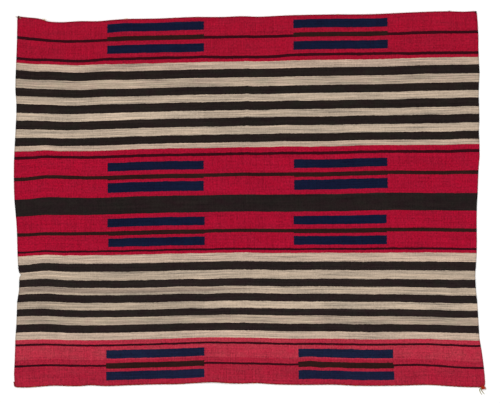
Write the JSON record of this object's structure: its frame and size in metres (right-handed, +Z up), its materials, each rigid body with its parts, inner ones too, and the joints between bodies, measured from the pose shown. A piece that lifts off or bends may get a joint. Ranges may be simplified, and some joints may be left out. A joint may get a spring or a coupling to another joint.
{
  "type": "navajo rug",
  "caption": "Flat handwoven wool rug with a red, white and dark stripe and block pattern, corded ends and knotted corners, to lay on a floor.",
  "frame": {"origin": "middle of the outline of the whole rug, on the surface that it lies on", "axes": "+X along the wefts, to the right as the rug is seen; +Y along the warps, towards its top end; +Z up"},
  "size_m": [1.8206, 1.4786, 0.0089],
  "materials": {
    "woven_wool": "matt weft-faced wool tapestry in crimson, ivory, dark blue and dark brown",
    "end_cord_wool": "matt plied wool, dark red-brown",
    "dark_knot_wool": "matt plied wool, dark brown",
    "orange_knot_wool": "matt plied wool, orange-red with pale loose strands"
  },
  "bodies": {
    "root": {"rug_cloth": "woven_wool", "end_cord_top": "end_cord_wool", "end_cord_bottom": "end_cord_wool", "corner_knot_top_left": "dark_knot_wool", "corner_knot_top_right": "dark_knot_wool", "corner_tassel_bottom_right": "orange_knot_wool"}
  },
  "joints": []
}
